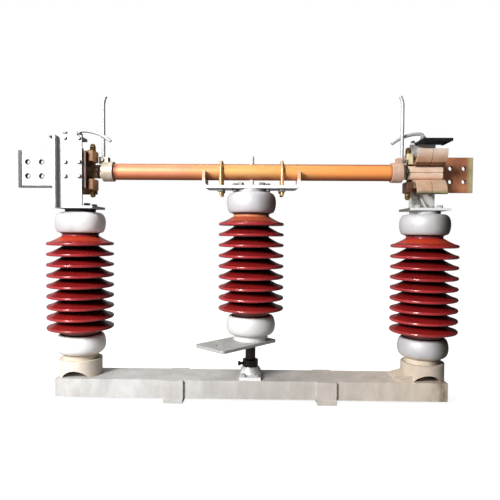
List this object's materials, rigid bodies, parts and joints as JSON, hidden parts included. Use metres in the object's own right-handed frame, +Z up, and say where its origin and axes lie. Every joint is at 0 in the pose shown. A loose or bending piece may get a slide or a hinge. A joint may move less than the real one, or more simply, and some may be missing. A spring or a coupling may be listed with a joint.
{
  "type": "substation disconnect switch",
  "caption": "Double-break disconnect switch pole: post insulators on a channel beam, the middle one turning a copper blade out of finger contacts at both ends.",
  "frame": {"origin": "on the blade's turning axis, level with the undersides of the feet, at the centre of the foot bolts", "axes": "+X along the base beam, +Y across it away from the side that the crank points to, +Z up"},
  "size_m": [1.334, 0.2525, 0.8925],
  "materials": {
    "galvanised_steel": "hot-dip galvanised, dull",
    "silver_caps": "silver paint on cast iron",
    "cast_aluminium": "satin",
    "brown_glaze": "glossy",
    "copper_tube": "bright drawn copper",
    "tinned_bar": "tinned copper",
    "brown_bar": "darkened copper",
    "contact_copper": "silvered copper, worn",
    "black_cover": "black paint",
    "dark_steel": "oiled",
    "steel_rod": "galvanised"
  },
  "bodies": {
    "frame": {"base_beam": "galvanised_steel", "left_foot": "galvanised_steel", "right_foot": "galvanised_steel", "left_pedestal": "galvanised_steel", "right_pedestal": "galvanised_steel", "bearing_housing": "cast_aluminium", "left_lower_cap": "silver_caps", "left_insulator": "brown_glaze", "left_upper_cap": "silver_caps", "left_bracket": "cast_aluminium", "left_terminal": "tinned_bar", "left_upper_fingers": "contact_copper", "left_lower_fingers": "contact_copper", "left_rain_cover": "black_cover", "left_fixed_horn": "steel_rod", "right_lower_cap": "silver_caps", "right_insulator": "brown_glaze", "right_upper_cap": "silver_caps", "right_bracket": "cast_aluminium", "right_terminal": "brown_bar", "right_upper_fingers": "contact_copper", "right_lower_fingers": "contact_copper", "right_rain_cover": "black_cover", "right_fixed_horn": "steel_rod"},
    "turning_column": {"shaft": "dark_steel", "shaft_collar": "dark_steel", "crank_plate": "galvanised_steel", "centre_lower_cap": "silver_caps", "centre_insulator": "brown_glaze", "centre_upper_cap": "silver_caps", "blade_saddle": "cast_aluminium", "u_bolts": "steel_rod", "blade_tube": "copper_tube", "centre_bolt": "steel_rod", "left_end_clamp": "cast_aluminium", "right_end_clamp": "cast_aluminium", "left_blade_tip": "contact_copper", "right_blade_tip": "contact_copper", "left_moving_horn": "steel_rod", "right_moving_horn": "steel_rod"}
  },
  "joints": [
    {"name": "blade_turn", "type": "hinge", "parent": "frame", "child": "turning_column", "pos_m": [0, 0, 0.095], "axis": [0, 0, -1], "range_deg": [0, 70]}
  ]
}
